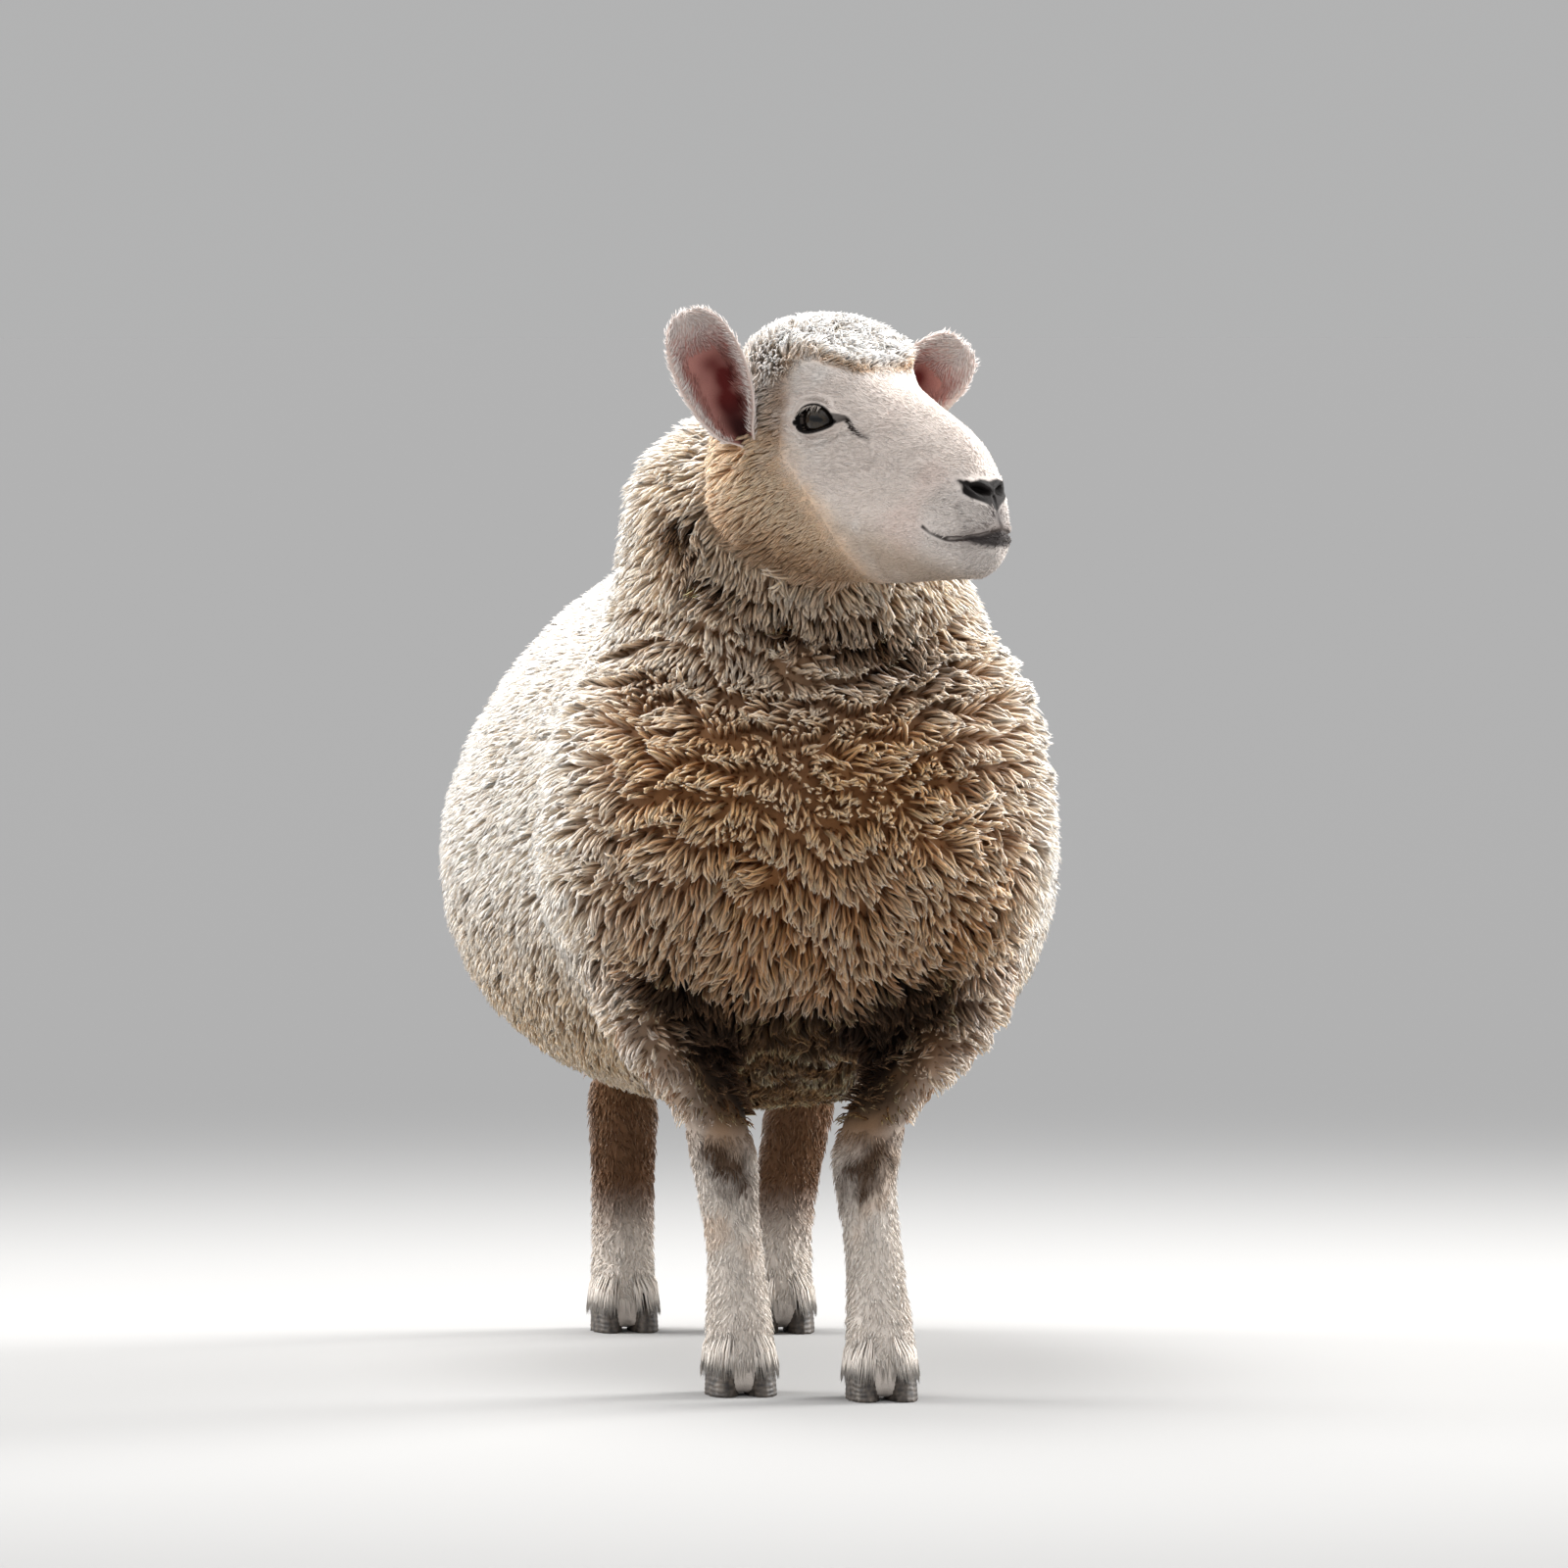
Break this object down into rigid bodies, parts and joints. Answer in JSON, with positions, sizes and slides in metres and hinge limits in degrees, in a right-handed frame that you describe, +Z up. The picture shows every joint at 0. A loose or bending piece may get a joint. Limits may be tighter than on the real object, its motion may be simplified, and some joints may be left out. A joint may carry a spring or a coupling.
{
  "type": "sheep",
  "caption": "Woolly white-faced ewe, life size, standing still on all four feet with the head turned to its left and the ears up.",
  "frame": {"origin": "on the ground, under the middle of the whole outline", "axes": "+Z up; the ewe faces -Y, so her left side is +X"},
  "size_m": [0.5506, 1.0266, 0.9276],
  "materials": {
    "fleece": "dull crimped wool, cream at the tips and tan in the folds",
    "face_hair": "short flat white hair",
    "leg_hair": "short white hair, soiled at the knees",
    "ear_skin": "thin pink skin under fine hair",
    "hoof_horn": "dark horn, worn matt",
    "eye": "wet dark brown"
  },
  "bodies": {
    "root": {"trunk": "fleece", "tail": "fleece", "neck": "fleece", "head": "face_hair", "eye_right": "eye", "eye_left": "eye", "ear_right": "ear_skin", "ear_left": "ear_skin", "foreleg_right": "leg_hair", "foreleg_left": "leg_hair", "hindleg_right": "leg_hair", "hindleg_left": "leg_hair", "foreleg_right_inner_claw": "hoof_horn", "foreleg_right_outer_claw": "hoof_horn", "foreleg_left_inner_claw": "hoof_horn", "foreleg_left_outer_claw": "hoof_horn", "hindleg_right_inner_claw": "hoof_horn", "hindleg_right_outer_claw": "hoof_horn", "hindleg_left_inner_claw": "hoof_horn", "hindleg_left_outer_claw": "hoof_horn"}
  },
  "joints": []
}
